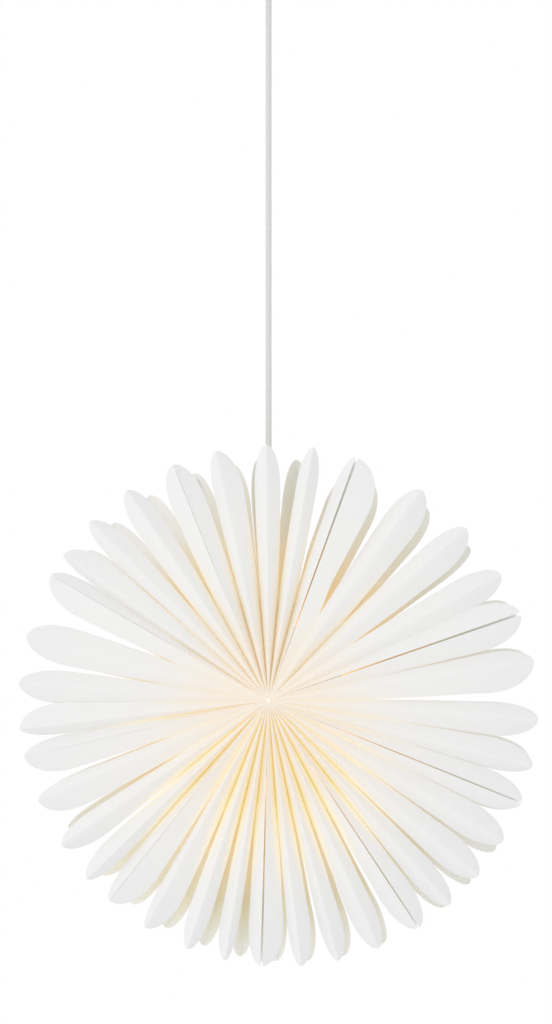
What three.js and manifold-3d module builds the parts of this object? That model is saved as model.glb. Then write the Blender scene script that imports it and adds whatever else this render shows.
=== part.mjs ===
// Folded paper star pendant: two rosettes of thirty-six petals, back to back, round a small lamp.
// A straight cord carries it from a ceiling cup.
// Millimetres, +Z up. The origin is the middle of the bracket's top face, on the ceiling.
// The front faces -Y. Angles round the star run clockwise from the top, seen from the front.

import * as THREE from 'three';
import { mergeVertices } from 'three/addons/utils/BufferGeometryUtils.js';
import Module from 'manifold-3d';

const wasm = await Module();
wasm.setup();

// General
const GAP = 0.3; // clearance between pieces that touch
const ROUND = 18; // facets round a turned piece
const FINE_ROUND = 12; // facets round a small turned piece
const CURVE_STEPS = 4; // facets along a rounded corner
const CUT_MARGIN = 1; // a cutting tool runs this far past the face it opens

// Star
const STAR_DROP = 770; // ceiling face down to the star's centre
const TIP_RADIUS = 250; // mean radius of the petal tips
const TIP_SWAY = 10.5; // the tips reach further to the lower right and less to the upper left
const SWAY_ANGLE = 130; // where they reach furthest
const HALF_DEPTH = 50; // ridges to the star's middle plane
const HALF_PETAL_ANGLE = 8; // half a petal, laid flat
const PAPER = 0.6; // thickness of a folded sheet with its glue
const LEAF_CUT = 94; // petals are joined inside this radius and free outside it
const CAVITY_RADIUS = 65; // the walls between petals stop here, round the lamp
const FREE_SHARE = 0.42; // spread of a free half petal, as a share of its pitch
const MOST_FREE_SHARE = 0.47; // spread of a half petal in a narrow pitch
const LEAST_SPREAD = 2.5; // a half petal in a narrow pitch stays this far open, in degrees
const MOST_OPEN = 0.985; // reach of the flattest half petal, as a share of its width
const TIP_LENGTH = 40; // the rounded end of a petal
const HUB_HOLE = 3; // the eye where the petals meet
const HUB_RADIUS = 12; // gathered ends of the paper
const HUB_FADE = 20; // where the gathered ends have thinned to one sheet
const HUB_DEPTH = 5; // thickness of the gathered ends
const GLUE_GAP = 0.3; // between the front and the rear walls
const TIP_STEPS = [0.5, 0.84, 1]; // stations along a rounded end
const TIP_POWER = 2.3; // how full a rounded end is: 2 is an ellipse
const TIP_LEAST_WIDTH = 0.07; // the blunt end of a tip, as a share of the petal's width
const RIDGE_MOST = 1.5; // most paper under a sharp ridge
const VALLEY_PAPER = 0.72; // paper under a valley
const VALLEY_SHARE = 0.45; // most of the reach that a wall's thickness takes near the eye
const EDGE_SHARE = 0.8; // most of the reach that a free edge's thickness takes

// Pitch from ridge to ridge in each paper section, in degrees, clockwise from its first seam
const FRONT_FIRST_SEAM = -22;
const FRONT_PITCHES = [
  [10, 11.5, 10.5, 10],
  [16, 13, 12.5, 9.5],
  [10.5, 12.5, 10, 8],
  [9, 9, 8.5, 8],
  [9.5, 9, 8, 8.5],
  [8, 8.5, 10.5, 10],
  [7, 9.5, 11.5, 10.5],
  [6.5, 10.5, 11, 15],
  [5.5, 9.5, 11, 12],
];
const REAR_FIRST_SEAM = -18;
const REAR_PITCHES = [
  [9, 6.5, 9, 16],
  [16.5, 13.5, 9, 6.5],
  [12, 14, 9, 8.5],
  [11.5, 9, 7, 8],
  [7.5, 9, 8, 7],
  [8, 8.5, 9.5, 10],
  [10, 13.5, 10.5, 10.5],
  [4.5, 10.5, 11, 15],
  [10, 9, 11, 12],
];

// Width of each seam at the tip, from the first seam on
const FRONT_GAPES = [0.5, 2.6, 1.6, 1.6, 2, 2.4, 0.5, 0.8, 0.8];
const REAR_GAPES = [0.8, 1.6, 0.8, 0.8, 0.8, 0.8, 0.8, 0.8, 0.8];

// Cord
const CORD_DIAMETER = 6;
const CORD_SIDES = 8;
const CORD_STEP = 6; // cord diameters from ring to ring
const CORD_CLEARANCE = 0.3;
const CORD_TOP = 17; // the sheath ends this far below the ceiling face
const CORD_ENTRY = 6; // the sheath ends this far above the holder's joint

// Hanger wire
const WIRE_DIAMETER = 2;
const WIRE_SIDES = 8;
const WIRE_REACH = 28; // middle of the wire to its turned-up ends
const WIRE_END_HEIGHT = 7;
const WIRE_BEND = 3;
const WIRE_STEPS = 7; // facets along an arm
const EYE_STEPS = 12; // facets round the eye
const WIRE_HOLE_CLEARANCE = 0.3;

// Lampholder, with heights above the star's centre
const HOLDER_RADIUS = 14;
const HOLDER_WALL = 1.6;
const HOLDER_BOTTOM = 8;
const HOLDER_SPLIT = 44;
const HOLDER_SHOULDER = 60;
const SHOULDER_RADIUS = 10;
const SHOULDER_DROP = 5; // from the holder's top to its straight wall
const SHOULDER_BEVEL = 1.2;
const SHOULDER_BEVEL_DROP = 1.8;
const SHOULDER_INSET = 0.6; // the shoulder's inside is this much narrower
const SKIRT_INSET = 1; // and its wall thickens by this above the joint
const RIM_BEVEL = 0.6;
const RIM_BEVEL_HEIGHT = 0.8;
const GROOVES = 3; // grip grooves round the body
const GROOVE_START = 4; // above the body's rim
const GROOVE_PITCH = 3.2;
const GROOVE_DEPTH = 0.5;
const GROOVE_WIDTH = 1.6;
const NIPPLE_RADIUS = 4.3;
const NIPPLE_FLANGE_RADIUS = 7.5;
const NIPPLE_FLANGE_HEIGHT = 2.5;
const NIPPLE_BEVEL = 1;
const NUT_ACROSS = 12;
const NUT_HEIGHT = 3.4;
const CORE_BOTTOM = 20.5;
const CORE_DECK = 39.5; // underside of the deck that holds the centre contact
const CORE_INSET = 1; // the core's top below the holder's joint
const CORE_HOLE_RADIUS = 2; // for the lead to the centre contact
const SLEEVE_BORE = 14.4;
const SLEEVE_WALL = 0.5;
const SLEEVE_LENGTH = 18;
const CONTACT_THICKNESS = 0.8;
const CONTACT_WIDTH = 5;
const CONTACT_LENGTH = 12;

// Bulb, with its small screw cap
const BULB_DIAMETER = 45;
const BULB_CENTRE = -16; // against the star's centre
const GLOBE_STEPS = 10; // facets from the neck to the foot
const BULB_NECK_RADIUS = 12.4;
const NECK_STEP = 0.4; // the neck is this much smaller than the globe's opening
const NECK_TAPER = 0.5; // and narrows by this before its shoulder
const NECK_BEND = 0.35; // where the shoulder starts, as a share of the neck's height
const BULB_COLLAR_RADIUS = 9;
const COLLAR_BEVEL = 1;
const COLLAR_BEVEL_HEIGHT = 1.5;
const CAP_DIAMETER = 13.8;
const CAP_LENGTH = 15;
const CAP_TOP = 35; // top of the screw shell above the star's centre
const CAP_CONE_HEIGHT = 3;
const CAP_CONE_RADIUS = 5.2; // at its top
const BUTTON_RADIUS = 3.4;
const BUTTON_TOP_RADIUS = 2;
const BUTTON_HEIGHT = 3;

// Ceiling fitting
const BRACKET_LENGTH = 86;
const BRACKET_WIDTH = 20;
const BRACKET_THICKNESS = 2;
const BRACKET_CORNER = 4;
const SLOT_SPACING = 72;
const SLOT_LENGTH = 10;
const SLOT_WIDTH = 4.8;
const TAB_WIDTH = 24;
const TAB_LENGTH = 34;
const CLAMP_HEIGHT = 12;
const CLAMP_WIDTH = 22;
const CLAMP_COVER = 3; // plastic in front of the cord
const CLAMP_BEVEL = 2;
const CLAMP_TOP = 20; // below the ceiling face
const CLAMP_SCREW_SPACING = 15;
const SCREW_RADIUS = 1.5;
const SCREW_HEAD_RADIUS = 2.8;
const SCREW_HEAD_HEIGHT = 1.8;
const SCREW_HEAD_EDGE = 0.9; // height of the head's straight side
const SCREW_CROWN_RADIUS = 1.7; // flat of the head's top
const SCREW_SLOT_WIDTH = 0.6;
const SCREW_SLOT_DEPTH = 0.8;
const SCREW_SINK = 0.2; // the shank runs this far into the head
const SCREW_END = 2; // a clamp screw shows this much behind the tab
const SCREW_CLEARANCE = 0.3;
const BLOCK_LENGTH = 15;
const BLOCK_WIDTH = 16;
const BLOCK_HEIGHT = 13;
const BLOCK_START = 12; // from the cord to the block's near face
const BLOCK_POLE_SPACING = 8;
const BLOCK_BORE = 3.2;
const WELL_BORE = 4;
const CORE_DIAMETER = 2.2;
const CORE_SPACING = 2.8;
const CORE_SIDES = 8;
const CORE_STEPS = 14; // facets along a core

// Ceiling cup
const CUP_RADIUS = 50;
const CUP_HEIGHT = 58;
const CUP_WALL = 1.8;
const CUP_TAPER = 4; // the foot is this much smaller in radius
const CUP_CORNER = 8;
const CUP_CORNER_STEPS = 3;
const CUP_FACETS = 32;
const GLAND_RADIUS = 5.2;
const GLAND_HEAD_RADIUS = 7.5;
const GLAND_HEAD_HEIGHT = 15;
const GLAND_BEVEL = 1.5;
const GLAND_BEVEL_HEIGHT = 2;
const GLAND_STEM_HEIGHT = 9;
const GLAND_NUT_ACROSS = 16;
const GLAND_NUT_HEIGHT = 4;
const GRUB_RADIUS = 1.5;
const GRUB_LENGTH = 4;

// Sizes that follow
const CORD_RADIUS = CORD_DIAMETER / 2;
const CORD_BORE_RADIUS = CORD_RADIUS + CORD_CLEARANCE;
const SECTIONS = FRONT_PITCHES.length;
const WIRE_RADIUS = WIRE_DIAMETER / 2;
const HANGER_HEIGHT = (CAVITY_RADIUS + LEAF_CUT) / 2; // the wire runs mid-way through the walls
const NIPPLE_TOP = HANGER_HEIGHT - WIRE_RADIUS - GAP;
const CORD_FOOT = HOLDER_SPLIT + CORD_ENTRY;
const TAB_FACE = CORD_RADIUS + CORD_CLEARANCE;
const BRACKET_CENTRE_Y = TAB_FACE + BRACKET_THICKNESS - BRACKET_WIDTH / 2;
const RADIANS = Math.PI / 180;

// Looks of the solids
const finish = (color, roughness, metalness = 0) =>
  new THREE.MeshStandardMaterial({ color, roughness, metalness });
const paperFinish = finish(0xf4f0e8, 0.85);
const cordFinish = finish(0xdcdcda, 0.9);
const holderFinish = finish(0xf2f2ef, 0.45);
const ceramicFinish = finish(0xefece4, 0.35);
const brassFinish = finish(0xc9a24d, 0.35, 1);
const steelFinish = finish(0xb9bcc0, 0.35, 1);
const globeFinish = finish(0xfff1d6, 0.4);
const nickelFinish = finish(0xc8c8c4, 0.3, 1);
const cupFinish = finish(0xf3f3f1, 0.5);
const brownFinish = finish(0x5b3a24, 0.5);
const blueFinish = finish(0x2c4f8f, 0.5);

// Closed geometry with shared vertices and faces pointing out
function closed(geometry) {
  const bare = geometry.clone();
  for (const name of Object.keys(bare.attributes)) {
    if (name !== 'position') bare.deleteAttribute(name);
  }
  const merged = mergeVertices(bare, 1e-4);
  const source = merged.index.array;
  const kept = [];
  for (let i = 0; i < source.length; i += 3) {
    const [a, b, c] = [source[i], source[i + 1], source[i + 2]];
    if (a !== b && b !== c && c !== a) kept.push(a, b, c);
  }
  const position = merged.attributes.position;
  const [p, q, s] = [new THREE.Vector3(), new THREE.Vector3(), new THREE.Vector3()];
  let volume = 0;
  for (let i = 0; i < kept.length; i += 3) {
    p.fromBufferAttribute(position, kept[i]);
    q.fromBufferAttribute(position, kept[i + 1]);
    s.fromBufferAttribute(position, kept[i + 2]);
    volume += p.dot(q.cross(s));
  }
  if (volume < 0) kept.reverse();
  merged.setIndex(kept);
  return merged;
}

// Cuts and joins
function toSolid(geometry) {
  const shape = closed(geometry);
  const mesh = new wasm.Mesh({
    numProp: 3,
    vertProperties: new Float32Array(shape.attributes.position.array),
    triVerts: new Uint32Array(shape.index.array),
  });
  return new wasm.Manifold(mesh);
}

function toGeometry(solid) {
  const mesh = solid.getMesh();
  const geometry = new THREE.BufferGeometry();
  geometry.setAttribute('position', new THREE.BufferAttribute(mesh.vertProperties, 3));
  geometry.setIndex(Array.from(mesh.triVerts));
  return geometry;
}

function cut(geometry, ...tools) {
  let solid = toSolid(geometry);
  for (const tool of tools) solid = solid.subtract(toSolid(tool));
  return toGeometry(solid);
}

function join(geometry, ...others) {
  let solid = toSolid(geometry);
  for (const other of others) solid = solid.add(toSolid(other));
  return toGeometry(solid);
}

// Turned piece from [radius, height] points that close on themselves or end on the axis
function turned(points, facets = ROUND) {
  const profile = points.map(([radius, height]) => new THREE.Vector2(radius, height));
  return new THREE.LatheGeometry(profile, facets).rotateX(Math.PI / 2);
}

// Tube wall between two radii and two heights
function ring(inner, outer, low, high, facets = ROUND) {
  const points = [[inner, low], [outer, low], [outer, high], [inner, high], [inner, low]];
  return turned(points, facets);
}

function rod(radius, low, high, facets = FINE_ROUND) {
  return turned([[0, low], [radius, low], [radius, high], [0, high]], facets);
}

function slab(shape, low, high, curveSegments = 2 * CURVE_STEPS) {
  const depth = high - low;
  const settings = { depth, bevelEnabled: false, curveSegments };
  return new THREE.ExtrudeGeometry(shape, settings).translate(0, 0, low);
}

function circleShape(radius, sides) {
  const shape = new THREE.Shape();
  for (let i = 0; i < sides; i++) {
    const angle = (2 * Math.PI * i) / sides;
    const [x, y] = [radius * Math.cos(angle), radius * Math.sin(angle)];
    if (i === 0) shape.moveTo(x, y);
    else shape.lineTo(x, y);
  }
  shape.closePath();
  return shape;
}

function hexagonShape(across) {
  return circleShape(across / Math.sqrt(3), 6);
}

function rectangleShape(x0, y0, x1, y1) {
  const shape = new THREE.Shape();
  shape.moveTo(x0, y0);
  shape.lineTo(x1, y0);
  shape.lineTo(x1, y1);
  shape.lineTo(x0, y1);
  shape.closePath();
  return shape;
}

function tube(curve, radius, sides, steps) {
  const settings = { steps, bevelEnabled: false, extrudePath: curve };
  return new THREE.ExtrudeGeometry(circleShape(radius, sides), settings);
}

// Paper sections

// Ridge angles of one rosette: a list of five for each section, from seam to seam
function ridgeAngles(firstSeam, pitches) {
  let angle = firstSeam;
  return pitches.map((row) => {
    const ridges = [angle];
    for (const pitch of row) {
      angle += pitch;
      ridges.push(angle);
    }
    return ridges;
  });
}

function tipRadius(angle) {
  return TIP_RADIUS + TIP_SWAY * Math.cos((angle - SWAY_ANGLE) * RADIANS);
}

// Stations along a petal, from the eye to the tip: the first ones are joined to the neighbours
const joinedStations = [HUB_HOLE, HUB_RADIUS, HUB_FADE, CAVITY_RADIUS, LEAF_CUT];
const hubLast = joinedStations.indexOf(HUB_RADIUS);
const wallFirst = joinedStations.indexOf(CAVITY_RADIUS);
const joinedLast = joinedStations.indexOf(LEAF_CUT);

function stations(angle) {
  const end = tipRadius(angle);
  const round = [0, ...TIP_STEPS].map((share) => end - TIP_LENGTH * (1 - share));
  return [...joinedStations, ...round];
}

// Half a petal at one station: how wide it reaches sideways and how far it drops
function halfPetal(radius, end, pitch, joined) {
  const beyond = Math.max(0, (radius - (end - TIP_LENGTH)) / TIP_LENGTH);
  const full = Math.max(0, 1 - beyond ** TIP_POWER) ** (1 / TIP_POWER);
  const taper = Math.max(TIP_LEAST_WIDTH, full);
  const width = radius * Math.tan(HALF_PETAL_ANGLE * RADIANS) * taper;
  const wide = Math.min(Math.max(FREE_SHARE * pitch, LEAST_SPREAD), MOST_FREE_SHARE * pitch);
  const spread = joined ? pitch / 2 : wide;
  const reach = Math.min(radius * Math.tan(spread * RADIANS) * taper, width * MOST_OPEN);
  const drop = Math.sqrt(width * width - reach * reach);
  return { width, reach, drop };
}

// Closed mesh of one section on one side of the star.
// side is -1 for the front and 1 for the rear. ridges has five angles, and gapes the two seams' widths.
// wallAngles gives the angle where each of the four walls meets the middle plane.
function sectionGeometry(side, ridges, gapes, wallAngles) {
  const positions = [];
  const index = [];
  const place = (angle, radius, sideways, depth) => {
    const [sin, cos] = [Math.sin(angle * RADIANS), Math.cos(angle * RADIANS)];
    positions.push(radius * sin + sideways * cos, side * depth, radius * cos - sideways * sin);
    return positions.length / 3 - 1;
  };
  const face = (...corners) => {
    const order = side < 0 ? corners : [...corners].reverse();
    for (let i = 1; i < order.length - 1; i++) index.push(order[0], order[i], order[i + 1]);
  };
  const last = stations(0).length - 1;
  const lobes = ridges.map((angle, j) => ({ angle, j, rows: [] }));
  const valleys = ridges.slice(1).map((angle, j) => ({ angle: (angle + ridges[j]) / 2, rows: [] }));

  // Valleys, where neighbours are joined, and the walls below them
  valleys.forEach((valley, j) => {
    const pitch = ridges[j + 1] - ridges[j];
    const radii = stations(valley.angle);
    for (let k = 0; k <= joinedLast; k++) {
      const radius = radii[k];
      const { reach, drop } = halfPetal(radius, tipRadius(valley.angle), pitch, true);
      const half = Math.min(PAPER, VALLEY_SHARE * reach);
      const depth = HALF_DEPTH - drop;
      const under = k <= hubLast ? HALF_DEPTH - HUB_DEPTH : depth - VALLEY_PAPER;
      const row = {
        top: place(valley.angle, radius, 0, depth),
        left: place(valley.angle, radius, -half, under),
        right: place(valley.angle, radius, half, under),
      };
      if (k >= wallFirst) {
        row.footLeft = place(wallAngles[j], radius, -half, GLUE_GAP / 2);
        row.footRight = place(wallAngles[j], radius, half, GLUE_GAP / 2);
      }
      valley.rows.push(row);
    }
  });

  // Ridges and free edges
  lobes.forEach((lobe) => {
    const { angle, j } = lobe;
    const end = tipRadius(angle);
    const radii = stations(angle);
    const pitches = { left: ridges[j] - ridges[j - 1], right: ridges[j + 1] - ridges[j] };
    const sides = [];
    if (j > 0) sides.push('left');
    if (j < lobes.length - 1) sides.push('right');
    radii.forEach((radius, k) => {
      const joined = k <= joinedLast;
      const halves = sides.map((name) => halfPetal(radius, end, pitches[name], joined));
      const slope = halves.reduce((sum, half) => sum + half.reach / half.width, 0) / halves.length;
      const thick = Math.min(PAPER / slope, RIDGE_MOST);
      const share = (radius - HUB_HOLE) / (end - HUB_HOLE);
      const gape = sides.length > 1 ? 0 : gapes[j === 0 ? 0 : 1];
      const open = gape === 0 ? 0 : (GAP + (gape - GAP) * share) / 2;
      const away = j === 0 ? open : -open;
      const row = {
        top: place(angle, radius, away, HALF_DEPTH),
        under: place(angle, radius, away, HALF_DEPTH - (k <= hubLast ? HUB_DEPTH : thick)),
      };
      sides.forEach((name, i) => {
        const valley = valleys[name === 'left' ? j - 1 : j];
        if (joined) {
          row[name] = valley.rows[k].top;
          row[`${name}Under`] = name === 'left' ? valley.rows[k].right : valley.rows[k].left;
          return;
        }
        const { width, reach, drop } = halves[i];
        const turn = name === 'left' ? -1 : 1;
        const inset = Math.min((PAPER * drop) / width, EDGE_SHARE * reach);
        const lower = HALF_DEPTH - drop - (PAPER * reach) / width;
        row[name] = place(angle, radius, turn * (open + reach), HALF_DEPTH - drop);
        row[`${name}Under`] = place(angle, radius, turn * (open + reach - inset), lower);
      });
      lobe.rows.push(row);
    });
  });

  // Skins of the petals
  lobes.forEach(({ j, rows }) => {
    const hasLeft = j > 0;
    const hasRight = j < lobes.length - 1;
    for (let k = 0; k < last; k++) {
      const [a, b] = [rows[k], rows[k + 1]];
      const free = k >= joinedLast;
      if (hasRight) {
        face(a.top, a.right, b.right, b.top);
        face(a.under, b.under, b.rightUnder, a.rightUnder);
        if (free) face(a.rightUnder, b.rightUnder, b.right, a.right);
      } else {
        face(a.under, b.under, b.top, a.top);
      }
      if (hasLeft) {
        face(a.left, a.top, b.top, b.left);
        face(a.leftUnder, b.leftUnder, b.under, a.under);
        if (free) face(a.leftUnder, a.left, b.left, b.leftUnder);
      } else {
        face(a.under, a.top, b.top, b.under);
      }
    }
    const [first, tip] = [rows[0], rows[last]];
    if (hasRight) {
      face(first.under, first.rightUnder, first.right, first.top);
      face(tip.under, tip.top, tip.right, tip.rightUnder);
    }
    if (hasLeft) {
      face(first.leftUnder, first.under, first.top, first.left);
      face(tip.leftUnder, tip.left, tip.top, tip.under);
    }
  });

  // Undersides of the valleys, and the walls
  valleys.forEach(({ rows }) => {
    for (let k = 0; k < joinedLast; k++) {
      const [a, b] = [rows[k], rows[k + 1]];
      if (k < wallFirst) {
        face(a.left, b.left, b.right, a.right);
      } else {
        face(a.footLeft, a.left, b.left, b.footLeft);
        face(a.footRight, b.footRight, b.right, a.right);
        face(a.footLeft, b.footLeft, b.footRight, a.footRight);
      }
    }
    const [first, inner, outer] = [rows[0], rows[wallFirst], rows[joinedLast]];
    face(first.left, first.right, first.top);
    face(inner.footLeft, inner.footRight, inner.right, inner.left);
    face(outer.footLeft, outer.left, outer.right, outer.footRight);
    face(outer.left, outer.top, outer.right);
  });

  const geometry = new THREE.BufferGeometry();
  geometry.setAttribute('position', new THREE.Float32BufferAttribute(positions, 3));
  geometry.setIndex(index);
  return geometry;
}

// The hole that the hanger wire passes through, along X
function wireHole() {
  const radius = WIRE_RADIUS + WIRE_HOLE_CLEARANCE;
  const hole = rod(radius, -WIRE_REACH, WIRE_REACH, FINE_ROUND);
  return hole.rotateY(Math.PI / 2).translate(0, 0, HANGER_HEIGHT);
}

function valleyAngles(ridges) {
  return ridges.slice(1).map((angle, j) => (angle + ridges[j]) / 2);
}

function makeStar() {
  const star = new THREE.Group();
  const front = ridgeAngles(FRONT_FIRST_SEAM, FRONT_PITCHES);
  const rear = ridgeAngles(REAR_FIRST_SEAM, REAR_PITCHES);
  for (let s = 0; s < SECTIONS; s++) {
    const next = (s + 1) % SECTIONS;
    const walls = valleyAngles(front[s]);
    const frontGapes = [FRONT_GAPES[s], FRONT_GAPES[next]];
    const rearGapes = [REAR_GAPES[s], REAR_GAPES[next]];
    let frontShape = sectionGeometry(-1, front[s], frontGapes, walls);
    let rearShape = sectionGeometry(1, rear[s], rearGapes, walls);
    if (s === 0) {
      frontShape = cut(frontShape, wireHole());
      rearShape = cut(rearShape, wireHole());
    }
    star.add(piece(`front_section_${s + 1}`, frontShape, paperFinish));
    star.add(piece(`rear_section_${s + 1}`, rearShape, paperFinish));
  }
  return star;
}

// Hanger wire: an eye round the cord and two arms with turned-up ends
function hangerWire() {
  const eyeRadius = CORD_BORE_RADIUS + WIRE_RADIUS;
  const eye = new THREE.TorusGeometry(eyeRadius, WIRE_RADIUS, WIRE_SIDES, EYE_STEPS);
  const arm = (turn) => {
    const path = new THREE.CurvePath();
    const start = new THREE.Vector3(turn * eyeRadius, 0, 0);
    const bend = new THREE.Vector3(turn * (WIRE_REACH - WIRE_BEND), 0, 0);
    const corner = new THREE.Vector3(turn * WIRE_REACH, 0, 0);
    const rise = new THREE.Vector3(turn * WIRE_REACH, 0, WIRE_BEND);
    const end = new THREE.Vector3(turn * WIRE_REACH, 0, WIRE_END_HEIGHT);
    path.add(new THREE.LineCurve3(start, bend));
    path.add(new THREE.QuadraticBezierCurve3(bend, corner, rise));
    path.add(new THREE.LineCurve3(rise, end));
    return tube(path, WIRE_RADIUS, WIRE_SIDES, WIRE_STEPS);
  };
  return join(eye, arm(1), arm(-1)).translate(0, 0, HANGER_HEIGHT);
}

// Lampholder
function holderNipple() {
  const bore = CORD_BORE_RADIUS;
  const shoulder = HOLDER_SHOULDER + GAP;
  const flangeTop = shoulder + NIPPLE_FLANGE_HEIGHT;
  const low = HOLDER_SHOULDER - HOLDER_WALL - NUT_HEIGHT - 2 * GAP;
  return turned([
    [bore, low],
    [NIPPLE_RADIUS, low],
    [NIPPLE_RADIUS, shoulder],
    [NIPPLE_FLANGE_RADIUS, shoulder],
    [NIPPLE_FLANGE_RADIUS, flangeTop - NIPPLE_BEVEL],
    [NIPPLE_FLANGE_RADIUS - NIPPLE_BEVEL, flangeTop],
    [NIPPLE_RADIUS, flangeTop],
    [NIPPLE_RADIUS, NIPPLE_TOP],
    [bore, NIPPLE_TOP],
    [bore, low],
  ]);
}

function nippleNut() {
  const top = HOLDER_SHOULDER - HOLDER_WALL - GAP;
  const shape = hexagonShape(NUT_ACROSS);
  shape.holes.push(new THREE.Path(circleShape(NIPPLE_RADIUS + GAP, ROUND).getPoints()));
  return slab(shape, top - NUT_HEIGHT, top);
}

function holderCap() {
  const hole = NIPPLE_RADIUS + GAP;
  const low = HOLDER_SPLIT + GAP;
  const inner = HOLDER_RADIUS - HOLDER_WALL;
  const under = HOLDER_SHOULDER - HOLDER_WALL;
  return turned([
    [inner, low],
    [HOLDER_RADIUS, low],
    [HOLDER_RADIUS, HOLDER_SHOULDER - SHOULDER_DROP],
    [HOLDER_RADIUS - SHOULDER_BEVEL, HOLDER_SHOULDER - SHOULDER_BEVEL_DROP],
    [SHOULDER_RADIUS, HOLDER_SHOULDER],
    [hole, HOLDER_SHOULDER],
    [hole, under],
    [SHOULDER_RADIUS - SHOULDER_INSET, under],
    [inner - SKIRT_INSET, HOLDER_SHOULDER - SHOULDER_DROP],
    [inner, low],
  ]);
}

function holderBody() {
  const inner = HOLDER_RADIUS - HOLDER_WALL;
  const floor = HOLDER_RADIUS - GROOVE_DEPTH;
  const profile = [[inner, HOLDER_BOTTOM], [HOLDER_RADIUS - RIM_BEVEL, HOLDER_BOTTOM]];
  profile.push([HOLDER_RADIUS, HOLDER_BOTTOM + RIM_BEVEL_HEIGHT]);
  for (let i = 0; i < GROOVES; i++) {
    const low = HOLDER_BOTTOM + GROOVE_START + i * GROOVE_PITCH;
    const high = low + GROOVE_WIDTH;
    profile.push([HOLDER_RADIUS, low], [floor, low + GROOVE_DEPTH]);
    profile.push([floor, high - GROOVE_DEPTH], [HOLDER_RADIUS, high]);
  }
  profile.push([HOLDER_RADIUS, HOLDER_SPLIT], [inner, HOLDER_SPLIT], [inner, HOLDER_BOTTOM]);
  return turned(profile);
}

function holderCore() {
  const outer = HOLDER_RADIUS - HOLDER_WALL - GAP;
  const bore = SLEEVE_BORE / 2 + SLEEVE_WALL + GAP;
  const high = HOLDER_SPLIT - CORE_INSET;
  return turned([
    [bore, CORE_BOTTOM],
    [outer, CORE_BOTTOM],
    [outer, high],
    [CORE_HOLE_RADIUS, high],
    [CORE_HOLE_RADIUS, CORE_DECK],
    [bore, CORE_DECK],
    [bore, CORE_BOTTOM],
  ]);
}

function threadSleeve() {
  const inner = SLEEVE_BORE / 2;
  return ring(inner, inner + SLEEVE_WALL, CORE_BOTTOM, CORE_BOTTOM + SLEEVE_LENGTH);
}

function centreContact() {
  const half = CONTACT_LENGTH / 2;
  const high = CORE_DECK - GAP;
  const low = high - CONTACT_THICKNESS;
  const strip = rectangleShape(-half, -CONTACT_WIDTH / 2, half, CONTACT_WIDTH / 2);
  return slab(strip, low, high);
}

// Bulb
function bulbContact() {
  const low = CAP_TOP + GAP;
  const high = CORE_DECK - CONTACT_THICKNESS - 2 * GAP;
  return turned([
    [0, low],
    [BUTTON_RADIUS, low],
    [BUTTON_RADIUS, high - BUTTON_HEIGHT / 2],
    [BUTTON_TOP_RADIUS, high],
    [0, high],
  ], FINE_ROUND);
}

function bulbCap() {
  const radius = CAP_DIAMETER / 2;
  const low = CAP_TOP - CAP_LENGTH;
  return turned([
    [0, low],
    [radius, low],
    [radius, CAP_TOP - CAP_CONE_HEIGHT],
    [CAP_CONE_RADIUS, CAP_TOP],
    [0, CAP_TOP],
  ]);
}

function bulbNeck() {
  const rise = Math.sqrt((BULB_DIAMETER / 2) ** 2 - BULB_NECK_RADIUS ** 2);
  const low = BULB_CENTRE + rise + GAP;
  const high = CAP_TOP - CAP_LENGTH - GAP;
  const foot = BULB_NECK_RADIUS - NECK_STEP;
  return turned([
    [0, low],
    [foot, low],
    [foot - NECK_TAPER, low + (high - low) * NECK_BEND],
    [BULB_COLLAR_RADIUS, high - COLLAR_BEVEL_HEIGHT],
    [BULB_COLLAR_RADIUS - COLLAR_BEVEL, high],
    [0, high],
  ]);
}

function bulbGlobe() {
  const radius = BULB_DIAMETER / 2;
  const start = Math.asin(BULB_NECK_RADIUS / radius);
  const profile = [[0, BULB_CENTRE + radius * Math.cos(start)]];
  for (let i = 0; i < GLOBE_STEPS; i++) {
    const angle = start + ((Math.PI - start) * i) / GLOBE_STEPS;
    profile.push([radius * Math.sin(angle), BULB_CENTRE + radius * Math.cos(angle)]);
  }
  profile.push([0, BULB_CENTRE - radius]);
  return turned(profile);
}

function makeLamp() {
  const lamp = new THREE.Group();
  lamp.add(piece('hanger_wire', hangerWire(), steelFinish));
  lamp.add(piece('holder_nipple', holderNipple(), holderFinish));
  lamp.add(piece('nipple_nut', nippleNut(), brassFinish));
  lamp.add(piece('holder_cap', holderCap(), holderFinish));
  lamp.add(piece('holder_body', holderBody(), holderFinish));
  lamp.add(piece('holder_core', holderCore(), ceramicFinish));
  lamp.add(piece('thread_sleeve', threadSleeve(), brassFinish));
  lamp.add(piece('centre_contact', centreContact(), brassFinish));
  lamp.add(piece('bulb_contact', bulbContact(), nickelFinish));
  lamp.add(piece('bulb_cap', bulbCap(), nickelFinish));
  lamp.add(piece('bulb_neck', bulbNeck(), holderFinish));
  lamp.add(piece('bulb_globe', bulbGlobe(), globeFinish));
  return lamp;
}

// Cord, straight from the sheath's end in the cup to the lampholder
function cord() {
  const top = new THREE.Vector3(0, 0, -CORD_TOP);
  const foot = new THREE.Vector3(0, 0, CORD_FOOT - STAR_DROP);
  const steps = Math.round(top.distanceTo(foot) / (CORD_STEP * CORD_DIAMETER));
  return tube(new THREE.LineCurve3(top, foot), CORD_RADIUS, CORD_SIDES, steps);
}

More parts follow.
